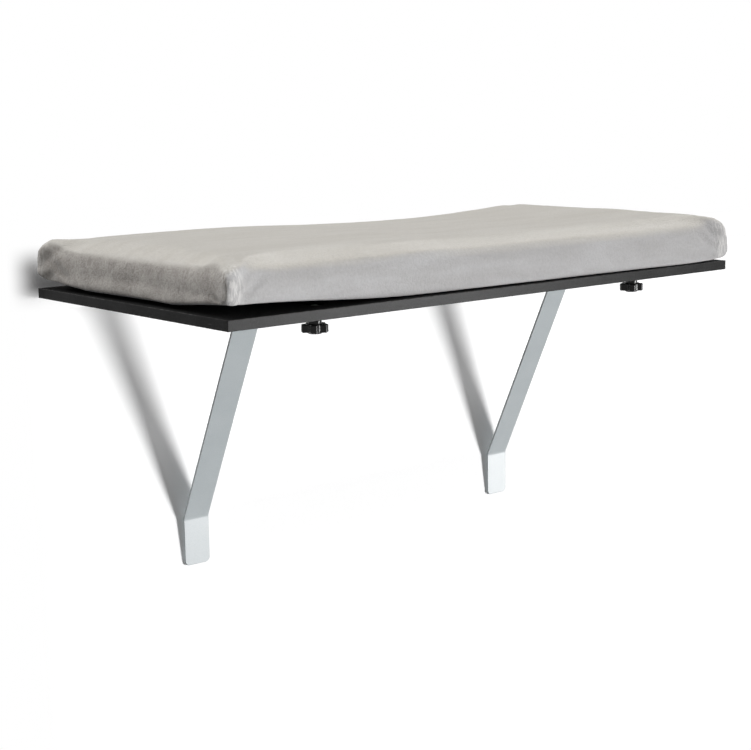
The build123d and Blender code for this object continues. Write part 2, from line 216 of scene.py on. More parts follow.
def make_melamine():
    finish, tree, shader = new_finish("black_melamine_on_fibreboard")
    place, facing = places(tree)
    face = put_grain(tree, place, 1100.0, grey(0.0022), grey(0.006), 0.62, 0.8, 9.0)
    wear = put_scuffs(tree, place, facing, 24.0)
    fibres = noise(tree, stretched(tree, place, (1.0, 1.0, 5.0)), 700.0, 6.0, Roughness=0.7)
    core = mix_colours(tree, ramp(tree, fibres, 0.3, 0.7),
                       (0.005, 0.004, 0.003, 1), (0.016, 0.012, 0.009, 1))
    upright = math_node(tree, "ABSOLUTE", along_axes(tree, facing)[2])
    faced = ramp(tree, upright, 0.85, 0.95)
    dusty = mix_colours(tree, times(tree, wear["Dust"], 0.05), face["Colour"], grey(0.2))
    scratched = mix_colours(tree, times(tree, wear["Scratches"], 0.12), dusty, grey(0.1))
    feed(tree, shader.inputs, {
        "Base Color": mix_colours(tree, faced, core, scratched),
        "Roughness": face["Roughness"],
        "Specular IOR Level": 0.06})
    bump(tree, shader, face["Height"], 0.00012, 0.5)
    return finish


dress(["board_panel"], make_melamine())


# Edge bands
# Black plastic edging 0.8 mm thick, glued round the panel and trimmed flush with a
# small radius. Its outer face has a fine satin emboss, a little rubbed at the edges.

rub_start, rub_full = 0.0007, 0.0001


def make_edging():
    finish, tree, shader = new_finish("black_edging")
    place, facing = places(tree)
    emboss = put_grain(tree, place, 1500.0, grey(0.017), grey(0.031), 0.18, 0.26, 40.0)
    wear = put_scuffs(tree, place, facing, 34.0)
    low, high = (corner.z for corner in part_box("edge_band_front"))
    middle, half = (low + high) / 2, (high - low) / 2
    height = math_node(tree, "SUBTRACT", along_axes(tree, place)[2], middle)
    rim = ramp(tree, math_node(tree, "ABSOLUTE", height), half - rub_start, half - rub_full)
    chips = noise(tree, place, 260.0, 5.0)
    rubbed = times(tree, rim, ramp(tree, chips, 0.42, 0.66))
    worn = math_node(tree, "MAXIMUM", times(tree, rubbed, 0.35),
                     times(tree, wear["Scratches"], 0.15))
    feed(tree, shader.inputs, {
        "Base Color": mix_colours(tree, worn, emboss["Colour"], grey(0.16)),
        "Roughness": emboss["Roughness"],
        "Specular IOR Level": 0.02})
    bump(tree, shader, emboss["Height"], 0.0001, 0.08)
    return finish


dress(["edge_band_front", "edge_band_rear", "edge_band_left", "edge_band_right"], make_edging())


# Sill pad
# A thin sheet of ribbed black rubber, cut with rounded corners and glued under the
# rear of the board, where it grips the sill and keeps it from being scratched.

rib_pitch = 0.0024


def bands(tree, place, scale, direction, distortion=0.0):
    # Even bands across one direction.
    values = {"Vector": place, "Scale": scale, "Distortion": distortion}
    settings = {"wave_type": "BANDS", "bands_direction": direction}
    return add(tree, "ShaderNodeTexWave", values, **settings).outputs[1]


def scale_of_bands(pitch):
    # The texture's own scale gives twenty radians of its wave to the metre.
    return math.tau / (20 * pitch)


def make_ribbed_rubber():
    finish, tree, shader = new_finish("ribbed_rubber")
    place, _ = places(tree)
    ribs = bands(tree, place, scale_of_bands(rib_pitch), "Y")
    body = put_grain(tree, place, 800.0, grey(0.012), grey(0.03), 0.7, 0.9, 20.0)
    # Painted shade: the grooves between the ribs are coloured darker than the ribs.
    feed(tree, shader.inputs, {
        "Base Color": mix_colours(tree, ribs, grey(0.008), body["Colour"]),
        "Roughness": body["Roughness"],
        "Specular IOR Level": 0.3})
    bump(tree, shader, ribs, 0.0004)
    return finish


dress(["sill_pad"], make_ribbed_rubber())


# Hook and loop strips
# Black nylon tapes 25 mm wide. The stiff hook side is glued to the board and the soft
# loop side is sewn to the cushion, and both are woven with a narrow selvedge.

def make_weave_group():
    # Crossing threads: over and under rows of a plain weave, seen from any side.
    tree, at, out = new_group(
        "plain_weave",
        [("Place", VECTOR, None), ("Threads", FLOAT, 500.0),
         ("Dark", COLOUR, grey(0.02)), ("Light", COLOUR, grey(0.05))],
        [("Colour", COLOUR), ("Height", FLOAT)],
    )
    turned = add(tree, "ShaderNodeVectorMath", {0: at["Place"], 3: at["Threads"]},
                 operation="SCALE").outputs[0]
    rows = [math_node(tree, "SINE", times(tree, axis, math.tau))
            for axis in along_axes(tree, turned)]
    crossed = times(tree, rows[0], plus(tree, rows[1], rows[2]))
    lifted = ramp(tree, crossed, -0.9, 0.9)
    fuzz = noise(tree, turned, 2.2, 3.0)
    height = plus(tree, times(tree, lifted, 0.7), times(tree, fuzz, 0.3))
    # Painted shade: the colour follows the height of the threads, darker where they dip.
    feed(tree, out, {
        "Colour": mix_colours(tree, height, at["Dark"], at["Light"]),
        "Height": height})
    return tree


weave = make_weave_group()


def put_weave(tree, place, threads, dark, light):
    return put_group(tree, weave, {
        "Place": place, "Threads": threads, "Dark": dark, "Light": light})


def make_tape_finish(name, dark, light, pile_scale, pile_height, roughness):
    # A woven tape whose face is covered in hooks or loops.
    finish, tree, shader = new_finish(name)
    place, _ = places(tree)
    cloth = put_weave(tree, place, 900.0, grey(dark), grey(light))
    pile = add(tree, "ShaderNodeTexVoronoi", {
        "Vector": place, "Scale": pile_scale, "Randomness": 0.8})
    tips = ramp(tree, pile.outputs["Distance"], 0.1, 0.6, 1.0, 0.0)
    # Painted light: the raised tips of the pile are coloured paler than the tape beneath them.
    feed(tree, shader.inputs, {
        "Base Color": mix_colours(tree, tips, cloth["Colour"], grey(light * 1.8)),
        "Roughness": ramp(tree, tips, 0.0, 1.0, roughness + 0.15, roughness),
        "Sheen Weight": 0.2})
    bump(tree, shader, plus(tree, tips, times(tree, cloth["Height"], 0.3)), pile_height)
    return finish


dress(["hook_strip_front", "hook_strip_rear"],
      make_tape_finish("hook_tape", 0.006, 0.02, 620.0, 0.0006, 0.45))
dress(["loop_strip_front", "loop_strip_rear"],
      make_tape_finish("loop_tape", 0.01, 0.03, 900.0, 0.0004, 0.75))


# Brackets
# Two mild steel straps, bent twice with their corners rounded and rims eased, then
# powder coated silver grey. The coat has a faint orange peel and a fine metallic fleck.

def make_powder_coat():
    finish, tree, shader = new_finish("silver_grey_powder_coat")
    place, facing = places(tree)
    coat = put_grain(tree, place, 1300.0, (0.36, 0.395, 0.41, 1), (0.41, 0.442, 0.455, 1),
                     0.32, 0.42, 26.0)
    wear = put_scuffs(tree, place, facing, 40.0)
    peel = noise(tree, place, 480.0, 2.0)
    flecks = add(tree, "ShaderNodeTexVoronoi", {"Vector": place, "Scale": 2400.0})
    sparkle = ramp(tree, flecks.outputs["Distance"], 0.05, 0.16, 1.0, 0.0)
    bright = mix_colours(tree, times(tree, sparkle, 0.35), coat["Colour"], (0.62, 0.66, 0.68, 1))
    feed(tree, shader.inputs, {
        "Base Color": mix_colours(tree, times(tree, wear["Scratches"], 0.16), bright, grey(0.6)),
        "Roughness": coat["Roughness"],
        "Specular IOR Level": 0.65})
    bump(tree, shader, plus(tree, peel, times(tree, coat["Height"], 0.3)), 0.0001, 0.25)
    return finish


dress(["bracket_left", "bracket_right"], make_powder_coat())


# Bolts, guide pins and washers
# Zinc-plated steel. The bolts are headed with a dome and a square neck, the pins are
# riveted through the straps, and the washers are stamped. All keep a fine drawn grain.

thread_pitch = 0.001
thread_run_out = 0.002


def make_zinc(name, threaded):
    finish, tree, shader = new_finish(name)
    place, facing = places(tree)
    plate = put_grain(tree, place, 2600.0, (0.5, 0.51, 0.53, 1), (0.68, 0.69, 0.71, 1),
                      0.24, 0.4, 180.0)
    wear = put_scuffs(tree, place, facing, 160.0)
    tint = noise(tree, place, 110.0, 2.0)
    passivated = mix_colours(tree, ramp(tree, tint, 0.4, 0.7, 0.0, 0.35), plate["Colour"],
                             (0.66, 0.63, 0.5, 1))
    dulled = mix_colours(tree, times(tree, wear["Scratches"], 0.4), passivated, grey(0.34))
    feed(tree, shader.inputs, {
        "Base Color": dulled,
        "Roughness": plate["Roughness"],
        "Metallic": 1.0})
    if threaded:
        turns = bands(tree, place, scale_of_bands(thread_pitch), "Z")
        below = ramp(tree, along_axes(tree, place)[2], -thread_run_out, 0.0, 1.0, 0.0)
        height = plus(tree, times(tree, turns, below), times(tree, plate["Height"], 0.05))
        bump(tree, shader, height, 0.0005)
    else:
        bump(tree, shader, plate["Height"], 0.00004, 0.5)
    return finish


dress(["carriage_bolt_left", "carriage_bolt_right"], make_zinc("zinc_plated_bolt", threaded=True))
zinc = make_zinc("zinc_plated_steel", threaded=False)
dress(["guide_pin_left", "guide_pin_right", "washer_left", "washer_right"], zinc)


# Knobs and their inserts
# Five-lobed star knobs moulded in black nylon and left glossy by the mould, with a
# turned brass nut pressed into each hub.

def make_knob_plastic():
    finish, tree, shader = new_finish("glossy_black_nylon")
    place, facing = places(tree)
    skin = put_grain(tree, place, 900.0, grey(0.002), grey(0.005), 0.12, 0.22, 160.0)
    wear = put_scuffs(tree, place, facing, 150.0)
    dusty = mix_colours(tree, times(tree, wear["Dust"], 0.04), skin["Colour"], grey(0.2))
    feed(tree, shader.inputs, {
        "Base Color": mix_colours(tree, times(tree, wear["Scratches"], 0.1), dusty, grey(0.12)),
        "Roughness": skin["Roughness"],
        "Specular IOR Level": 0.18})
    bump(tree, shader, skin["Height"], 0.00003, 0.2)
    return finish


def make_brass():
    finish, tree, shader = new_finish("turned_brass")
    place, _ = places(tree)
    metal = put_grain(tree, place, 2000.0, (0.6, 0.4, 0.16, 1), (0.8, 0.6, 0.3, 1),
                      0.2, 0.36, 240.0)
    feed(tree, shader.inputs, {
        "Base Color": metal["Colour"],
        "Roughness": metal["Roughness"],
        "Metallic": 1.0})
    bump(tree, shader, bands(tree, place, 900.0, "Z", 0.4), 0.00004)
    return finish


dress(["knob_left", "knob_right"], make_knob_plastic())
dress(["knob_insert_left", "knob_insert_right"], make_brass())


# Cushion
# A foam slab in a fitted cover of short grey plush. The cover's top and bottom are
# joined by side strips with an upright seam at each corner, and the foam's swell pulls
# the sides in between them and lifts the lower edge at the corners.

voxel = 0.005
weld_distance = 0.00002
held_height = 0.003
swell_cap = 0.0055
swell_frames = 20
cover_low, cover_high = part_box("cushion_cover")
cushion_centre = (cover_low + cover_high) / 2
cushion_half = (cover_high - cover_low) / 2


def cushion_blank():
    # The foam's closed form, remeshed into even squares that can swell.
    mesh = nodes["cushion_foam"].data.copy()
    blank = bpy.data.objects.new("cushion", mesh)
    bpy.context.scene.collection.objects.link(blank)
    bpy.context.view_layer.objects.active = blank
    clean = bmesh.new()
    clean.from_mesh(mesh)
    bmesh.ops.remove_doubles(clean, verts=clean.verts, dist=weld_distance)
    clean.to_mesh(mesh)
    clean.free()
    remesh = blank.modifiers.new("squares", "REMESH")
    remesh.mode = "VOXEL"
    remesh.voxel_size = voxel
    settle(blank)
    return blank


def settle(piece):
    # Turns what the modifiers make into the piece's own mesh.
    graph = bpy.context.evaluated_depsgraph_get()
    made = bpy.data.meshes.new_from_object(piece.evaluated_get(graph))
    piece.modifiers.clear()
    old = piece.data
    piece.data = made
    bpy.data.meshes.remove(old)


def points_of(mesh):
    flat = np.empty(len(mesh.vertices) * 3)
    mesh.vertices.foreach_get("co", flat)
    return flat.reshape(-1, 3)


def normals_of(mesh):
    flat = np.empty(len(mesh.vertices) * 3)
    mesh.vertex_normals.foreach_get("vector", flat)
    return flat.reshape(-1, 3)


def set_points(mesh, points):
    mesh.vertices.foreach_set("co", points.astype(np.float32).ravel())
    mesh.update()


def swell(piece):
    # The cover fills out over the foam, held where it lies on the board.
    rest = points_of(piece.data)
    held = piece.vertex_groups.new(name="on_the_board")
    floor = rest[:, 2].min() + held_height
    held.add([int(i) for i in np.flatnonzero(rest[:, 2] < floor)], 1.0, "REPLACE")
    cloth = piece.modifiers.new("swell", "CLOTH")
    cloth.settings.quality = 5
    cloth.settings.mass = 0.25
    cloth.settings.tension_stiffness = 12
    cloth.settings.compression_stiffness = 12
    cloth.settings.shear_stiffness = 4
    cloth.settings.bending_stiffness = 0.8
    cloth.settings.use_pressure = True
    cloth.settings.uniform_pressure_force = 4
    cloth.settings.vertex_group_mass = "on_the_board"
    cloth.settings.effector_weights.gravity = 0
    cloth.collision_settings.use_collision = False
    cloth.point_cache.frame_start = 1
    cloth.point_cache.frame_end = swell_frames
    for number in range(1, swell_frames + 1):
        bpy.context.scene.frame_set(number)
    settle(piece)
    moved = points_of(piece.data) - rest
    far = np.linalg.norm(moved, axis=1, keepdims=True)
    set_points(piece.data, rest + moved * (swell_cap / np.maximum(far, swell_cap)))
    bpy.context.scene.frame_set(1)


def fill_cover(piece):
    # The swell draws the corners in, and the cover's seams hold them out again.
    points = points_of(piece.data)
    low, high = points.min(axis=0), points.max(axis=0)
    share = (points - low) / (high - low)
    set_points(piece.data, np.array(cover_low) + share * np.array(cover_high - cover_low))


def smooth_step(low, high, value):
    share = np.clip((value - low) / (high - low), 0, 1)
    return share * share * (3 - 2 * share)


def hump(distance, reach):
    # One at its middle, falling away smoothly to nought.
    return np.exp(-(distance / reach) ** 2)


wave_rate = 0.6


def waves(points, seed, wavelengths, count):
    # Slow seeded undulation with a mean of nought and a reach of about one.
    rng = np.random.default_rng(seed)
    total = np.zeros(len(points))
    for _ in range(count):
        direction = rng.normal(size=3) / np.array(wavelengths)
        total += np.sin(points @ direction * math.tau * wave_rate + rng.uniform(0, math.tau))
    return total / math.sqrt(count)


crease_start = 0.12
crease_taper = 0.6
crease_roll = 0.4


def crease(points, normals, start, end, width, depth):
    # A pinch in the cloth along a line, with a slight roll on each side of it.
    start, end = np.array(start), np.array(end)
    along = end - start
    share = np.clip((points - start) @ along / (along @ along), 0, 1)
    off = np.linalg.norm(points - (start + share[:, None] * along), axis=1)
    fade = np.sin(np.pi * (crease_start + (1 - crease_start) * share)).clip(0) ** crease_taper
    profile = crease_roll * hump(off - 2 * width, width) - hump(off, width)
    return points + normals * (depth * fade * profile)[:, None]


# Lower edge: how far it curls up at each corner, and how far that runs along X and Y.
edge_lifts = (
    ((-1, -1), 0.0095, 0.21, 0.13),
    ((-1, 1), 0.0062, 0.12, 0.12),
    ((1, -1), 0.0015, 0.06, 0.07),
    ((1, 1), 0.0050, 0.09, 0.09),
)
end_lift, end_lift_span = 0.002, (-0.25, -0.30)
front_bulge, bulge_span, bulge_reach = 0.0055, (-0.16, 0.0), 0.05

# Top: how far it stands up towards each end, and how far each corner of it does and
# how far around the corner that reaches.
upper_span = (0.4, 0.9)
right_rise, right_rise_span, rear_share = 0.0026, (0.12, 0.29), 0.45
left_rise, left_rise_span = 0.0012, (-0.02, -0.12)
corner_rises = {
    (-1, -1): (0.0020, 0.048),
    (-1, 1): (0.0062, 0.018),
    (1, -1): (0.0056, 0.020),
    (1, 1): (0.0, 0.048),
}

# Unevenness: its reach, seed, wavelengths, count of waves, and share on top and bottom.
undulations = (
    (0.0007, 5, (0.16, 0.12, 0.12), 7, 0.4),
    (0.00028, 8, (0.05, 0.04, 0.03), 9, 0.0),
)

# Upright seams.
corner_inset = 0.003
corner_ridge, ridge_reach = 0.0036, 0.008
seam_fade = 0.1
pucker_depth, pucker_pitch, pucker_reach = 0.0003, 0.0105, 0.011


def shape_cushion(piece):
    points = points_of(piece.data)
    normals = normals_of(piece.data)
    base, top = cover_low.z, cover_high.z
    height = np.clip((points[:, 2] - base) / (top - base), 0, 1)
    lower = (1 - height) ** 2
    upper = smooth_step(*upper_span, height)

    # The lower edge curls up off the board at its corners.
    lift = end_lift * smooth_step(*end_lift_span, points[:, 0])
    for (turn_x, turn_y), rise, run_x, run_y in edge_lifts:
        from_end = cushion_half.x - turn_x * (points[:, 0] - cushion_centre.x)
        from_side = cushion_half.y - turn_y * (points[:, 1] - cushion_centre.y)
        corner = smooth_step(run_x, 0, from_end) * smooth_step(run_y, 0, from_side)
        lift = np.maximum(lift, rise * corner)
    points[:, 2] += lift * lower

    # Along the right of the front it hangs to the board's edge.
    from_front = cushion_half.y + points[:, 1] - cushion_centre.y
    at_front = smooth_step(*bulge_span, points[:, 0]) * smooth_step(bulge_reach, 0, from_front)
    points[:, 1] -= front_bulge * at_front * lower

    # The foam stands a little higher towards both ends.
    frontward = np.clip(1 - from_front / (2 * cushion_half.y), 0, 1)
    right_end = smooth_step(*right_rise_span, points[:, 0])
    right_end *= rear_share + (1 - rear_share) * frontward
    points[:, 2] += upper * right_rise * right_end
    points[:, 2] += upper * left_rise * smooth_step(*left_rise_span, points[:, 0])

    # Slow unevenness of foam and cloth.
    side = 1 - np.abs(normals[:, 2])
    for reach, seed, wavelengths, count, share in undulations:
        uneven = reach * waves(points, seed, wavelengths, count) * (share + side)
        points += normals * uneven[:, None]

    # Upright seams, which hold the corners out in a ridge with small puckers beside it.
    for turn_x, turn_y in corner_rises:
        seam_x = cushion_centre.x + turn_x * (cushion_half.x - corner_inset)
        seam_y = cushion_centre.y + turn_y * (cushion_half.y - corner_inset)
        off = np.hypot(points[:, 0] - seam_x, points[:, 1] - seam_y)
        upright = smooth_step(-seam_fade, seam_fade, height)
        upright *= smooth_step(1 + seam_fade, 1 - seam_fade, height)
        rise, reach = corner_rises[turn_x, turn_y]
        points[:, 2] += rise * hump(off, reach) * upper
        out = upright * corner_ridge * hump(off, ridge_reach) * math.sqrt(0.5)
        points[:, 0] += turn_x * out
        points[:, 1] += turn_y * out
        pucker = np.sin(points[:, 2] * math.tau / pucker_pitch + 2 * turn_x + turn_y)
        pucker *= pucker_depth * upright * side * hump(off, pucker_reach)
        points += normals * pucker[:, None]
    return points, normals


# Creases: start, end, width and depth, on the cover as seen in the photo.
creases = (
    ((-0.306, 0.076, 0.033), (-0.303, 0.046, 0.051), 0.0045, 0.0020),
    ((-0.304, 0.030, 0.020), (-0.304, 0.066, 0.040), 0.0040, 0.0016),
    ((0.262, -0.222, 0.040), (0.292, -0.219, 0.020), 0.0030, 0.0009),
    ((0.276, -0.221, 0.048), (0.297, -0.214, 0.024), 0.0026, 0.0008),
    ((0.240, -0.223, 0.030), (0.286, -0.221, 0.017), 0.0026, 0.0008),
    ((-0.262, -0.222, 0.046), (-0.292, -0.218, 0.024), 0.0030, 0.0010),
    ((-0.302, -0.222, 0.022), (-0.292, -0.224, 0.022), 0.0020, 0.0018),
    ((-0.145, -0.206, 0.054), (-0.050, -0.196, 0.056), 0.0060, 0.0016),
    ((-0.190, -0.222, 0.044), (-0.060, -0.222, 0.044), 0.0100, 0.0018),
)

# Room: how far round the strips and the zip the cover keeps off them, and by how much,
# and how far past its drawn box its nap may stand.
strip_margin, strip_room = 0.0035, 0.0003
zip_margin, zip_room = 0.004, 0.0002
nap, rear_nap = 0.0015, 0.0002


def make_room(points):
    # Keeps the cover off the board, off the strips under it and clear of the zip.
    x, y, z = points.T
    z[:] = np.maximum(z, cover_low.z)
    for row in ("front", "rear"):
        low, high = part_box("loop_strip_" + row)
        over = np.abs(x) < high.x + strip_margin
        over &= (y > low.y - strip_margin) & (y < high.y + strip_margin)
        z[over] = np.maximum(z[over], high.z + strip_room)
    low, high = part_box("zipper_tape")
    behind = np.abs(x) < high.x + zip_margin
    behind &= (z > low.z - zip_margin) & (z < high.z + zip_margin)
    y[behind] = np.minimum(y[behind], low.y - zip_room)
    x[:] = np.clip(x, cover_low.x - nap, cover_high.x + nap)
    y[:] = np.clip(y, cover_low.y - nap, cover_high.y + rear_nap)
    return points


def make_cushion():
    piece = cushion_blank()
    swell(piece)
    fill_cover(piece)
    finer = piece.modifiers.new("finer", "SUBSURF")
    finer.levels = finer.render_levels = 1
    settle(piece)
    points, normals = shape_cushion(piece)
    for start, end, width, depth in creases:
        points = crease(points, normals, start, end, width, depth)
    set_points(piece.data, make_room(points))
    piece.data.polygons.foreach_set("use_smooth", [True] * len(piece.data.polygons))
    return piece


streak_inset = 0.007
streak_core, streak_reach = 0.003, 0.016


def make_plush():
    finish, tree, shader = new_finish("grey_plush")
    at, facing = places(tree)
    turns = along_axes(tree, facing)
    upward = ramp(tree, turns[2], 0.35, 0.9)
    end_shade_share = ramp(tree, math_node(tree, "ABSOLUTE", turns[0]), 0.45, 0.85)

    # The nap: long strokes of the brush on the top, curls on the ends.
    strokes = noise(tree, stretched(tree, at, (0.16, 1.0, 1.0)), 60.0, 6.0,
                    Roughness=0.55, Distortion=0.25)
    curls = noise(tree, at, 190.0, 6.0, Roughness=0.72, Distortion=1.6)
    patches = noise(tree, at, 34.0, 3.0, Distortion=0.8)
    tufts = noise(tree, at, 420.0, 4.0, Roughness=0.7)
    fibres = noise(tree, at, 1900.0, 2.0)
    stroke = ramp(tree, strokes, 0.3, 0.7)
    curl = ramp(tree, curls, 0.36, 0.64)
    tuft = ramp(tree, tufts, 0.3, 0.7)

    # Painted light and shade: the top is coloured lighter and warmer and the ends darker than the
    # front and rear, by the way each face turns. The ends also carry the nap's curls and patches.
    painted_lit_top = mix_colours(tree, stroke, (0.530, 0.506, 0.460, 1), (0.570, 0.548, 0.505, 1))
    cool = mix_colours(tree, stroke, (0.450, 0.442, 0.442, 1), (0.515, 0.512, 0.516, 1))
    brushed = plus(tree, times(tree, curl, 0.6),
                   times(tree, ramp(tree, patches, 0.35, 0.65), 0.4))
    ends = mix_colours(tree, brushed, (0.232, 0.212, 0.192, 1), (0.420, 0.396, 0.368, 1))
    cloth = mix_colours(tree, upward, mix_colours(tree, end_shade_share, cool, ends), painted_lit_top)
    # Painted shade: the cloth is darkened between the tufts of the nap.
    between = times(tree, math_node(tree, "SUBTRACT", 1.0, tuft), 0.14)
    shaded = mix_colours(tree, between, cloth, (0.2, 0.19, 0.18, 1))

    # Pale rubbed streaks along the corner seams.
    x, y, _ = along_axes(tree, at)
    from_middle = math_node(tree, "ABSOLUTE", math_node(tree, "SUBTRACT", y, cushion_centre.y))
    near_x = math_node(tree, "SUBTRACT", math_node(tree, "ABSOLUTE", x),
                       cushion_half.x - streak_inset)
    near_y = math_node(tree, "SUBTRACT", from_middle, cushion_half.y)
    off = math_node(tree, "SQRT", plus(tree, times(tree, near_x, near_x),
                                       times(tree, near_y, near_y)))
    streaks = noise(tree, stretched(tree, at, (1.0, 1.0, 0.25)), 520.0, 3.0)
    rubbed = times(tree, ramp(tree, off, streak_core, streak_reach, 1.0, 0.0),
                   ramp(tree, streaks, 0.45, 0.58))
    worn = mix_colours(tree, times(tree, rubbed, 0.55), shaded, (0.72, 0.71, 0.69, 1))

    feed(tree, shader.inputs, {
        "Base Color": worn,
        "Roughness": ramp(tree, tuft, 0.0, 1.0, 0.98, 0.82),
        "Specular IOR Level": 0.15,
        "Sheen Weight": 0.3,
        "Sheen Roughness": 0.45})
    height = plus(tree, times(tree, curl, 0.35), times(tree, tuft, 0.3))
    bump(tree, shader, plus(tree, height, times(tree, fibres, 0.2)), 0.0009, 0.55)
    return finish


cushion = make_cushion()
cushion.data.materials.clear()
cushion.data.materials.append(make_plush())
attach(cushion, "cushion")
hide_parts("cushion_cover", "cushion_foam")


# Zip
# A nylon zip sewn along the cover's rear: woven grey tape, moulded teeth, end stops,
# and a plated slider with its pull. Two rows of lock stitch hold the tape.

stitch_length = 0.0028
stitch_gap = 0.0012
stitch_thickness = 0.0004
stitch_setback = 0.0022
stitch_lift = 0.2


def make_zip_tape_finish():
    finish, tree, shader = new_finish("woven_zip_tape")
    place, _ = places(tree)
    cloth = put_weave(tree, place, 1100.0, (0.27, 0.26, 0.25, 1), (0.43, 0.42, 0.40, 1))
    feed(tree, shader.inputs, {
        "Base Color": cloth["Colour"],
        "Roughness": ramp(tree, cloth["Height"], 0.0, 1.0, 0.9, 0.75),
        "Sheen Weight": 0.15})
    bump(tree, shader, cloth["Height"], 0.0003)
    return finish


def make_nylon():
    finish, tree, shader = new_finish("grey_nylon")
    place, _ = places(tree)
    skin = put_grain(tree, place, 1500.0, (0.33, 0.32, 0.31, 1), (0.45, 0.44, 0.43, 1),
                     0.3, 0.45, 90.0)
    feed(tree, shader.inputs, {"Base Color": skin["Colour"], "Roughness": skin["Roughness"]})
    bump(tree, shader, skin["Height"], 0.00005)
    return finish


def make_thread():
    finish, tree, shader = new_finish("grey_thread")
    place, _ = places(tree)
    twist = bands(tree, place, 1400.0, "DIAGONAL", 1.0)
    # Painted shade: the grooves of the twist are coloured darker than its plies.
    feed(tree, shader.inputs, {
        "Base Color": mix_colours(tree, twist, (0.30, 0.29, 0.28, 1), (0.5, 0.49, 0.47, 1)),
        "Roughness": ramp(tree, twist, 0.0, 1.0, 0.85, 0.6)})
    bump(tree, shader, twist, 0.0001)
    return finish


def make_stitches():
    # Short rounded stitches in two rows along the tape.
    low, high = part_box("zipper_tape")
    made = bmesh.new()
    pitch = stitch_length + stitch_gap
    half_width = stitch_thickness / 2
    count = int((high.x - low.x - 2 * stitch_setback) / pitch)
    size = Matrix.Diagonal((stitch_length / 2, half_width, half_width, 1))
    y = high.y + stitch_thickness * stitch_lift
    for z in (low.z + stitch_setback, high.z - stitch_setback):
        for index in range(count):
            x = low.x + stitch_setback + (index + 0.5) * pitch
            bmesh.ops.create_icosphere(made, subdivisions=1, radius=1,
                                       matrix=Matrix.Translation((x, y, z)) @ size)
    mesh = bpy.data.meshes.new("zip_stitches")
    made.to_mesh(mesh)
    made.free()
    mesh.polygons.foreach_set("use_smooth", [True] * len(mesh.polygons))
    piece = bpy.data.objects.new("zip_stitches", mesh)
    bpy.context.scene.collection.objects.link(piece)
    return piece


dress(["zipper_tape"], make_zip_tape_finish())
dress(["zipper_teeth"], make_nylon())
dress(["zipper_stops", "zipper_slider", "zipper_pull"], zinc)
stitches = make_stitches()
stitches.data.materials.append(make_thread())
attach(stitches, "cushion")


# Floor and backdrop
# White card: a floor that bends up into a wall which touches the toes and leans back
# above them, and a second sheet hung behind the board. It shows only from its front.

floor_level = -0.74
toe_foot, toe_bend = -0.250, -0.205
gap_at_foot, gap_at_bend, gap_at_top = 0.0008, 0.0045, 0.0085
wall_top = -0.0004
panel_gap = 0.0035
panel_foot = -0.05
sheet_reach = 4.0
board_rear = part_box("edge_band_rear")[1].y

# Where the card keeps shadows, each as a span over which that begins or ends.
wall_depths = (0.012, 0.020)
wall_end = (-0.36, -0.32)
shade_level = 0.0195
shade_height = (0.006, 0.032)
shade_end = (-0.334, -0.304)
shade_inner_end = (-0.29, -0.27)
shade_under_cushion = (0.018, 0.024)

painted_card_glow = 0.16
glow_heights = (-0.20, -0.11)
sight_behind = 0.085
sight_span = (0.967, 0.99)
sight_heights = (-0.115, -0.10)


def make_card_finish():
    # White card that keeps the object's shadows. The panel behind the board keeps only
    # the close shadow at the board's left end, and the wall lets a bracket show that is
    # slid back through it. A faint glow, which is painted light, lightens the wall and the
    # shadows on it above the toes. Elsewhere the card glows plain white, which is painted
    # light that covers the shadows outside the spans where it keeps them.
    finish, tree, shader = new_finish("white_card")
    place, _ = places(tree)
    x, y, z = along_axes(tree, place)
    wall_only = ramp(tree, y, *wall_depths, 1.0, 0.0)
    # Painted light: the wall glows faintly above the toes, which lightens the shadows there.
    glow = times(tree, times(tree, wall_only, painted_card_glow), ramp(tree, z, *glow_heights))
    fibre = noise(tree, place, 300.0, 2.0)
    feed(tree, shader.inputs, {
        "Base Color": mix_colours(tree, fibre, grey(0.97), grey(1.0)),
        "Roughness": 1.0,
        "Specular IOR Level": 0.0,
        "Emission Color": grey(1.0),
        "Emission Strength": glow})

    on_wall = times(tree, wall_only, ramp(tree, x, *wall_end))
    from_level = math_node(tree, "ABSOLUTE", math_node(tree, "SUBTRACT", z, shade_level))
    inner = math_node(tree, "MAXIMUM", ramp(tree, z, *shade_under_cushion, 1.0, 0.0),
                      ramp(tree, x, *shade_inner_end, 1.0, 0.0))
    on_panel = times(tree, ramp(tree, from_level, *shade_height, 1.0, 0.0),
                     times(tree, ramp(tree, x, *shade_end), inner))
    shaded = math_node(tree, "MAXIMUM", on_wall, on_panel)
    # Painted light: outside the shaded spans the card glows plain white over any shadow that falls
    # there.
    plain = add(tree, "ShaderNodeEmission", {"Color": grey(1.0), "Strength": 1.0})
    card = add(tree, "ShaderNodeMixShader", {
        0: shaded, 1: plain.outputs[0], 2: shader.outputs[0]})

    from_behind = add(tree, "ShaderNodeNewGeometry", {}).outputs["Backfacing"]
    room = add(tree, "ShaderNodeAmbientOcclusion", {"Distance": sight_behind},
               inside=True, samples=32)
    passed = times(tree, ramp(tree, room.outputs["AO"], *sight_span, 1.0, 0.0),
                   ramp(tree, z, *sight_heights, 1.0, 0.0))
    clear = add(tree, "ShaderNodeBsdfTransparent", {})
    either = add(tree, "ShaderNodeMixShader", {
        0: math_node(tree, "MAXIMUM", from_behind, passed),
        1: card.outputs[0], 2: clear.outputs[0]})
    tree.links.new(either.outputs[0], tree.nodes["Material Output"].inputs["Surface"])
    return finish


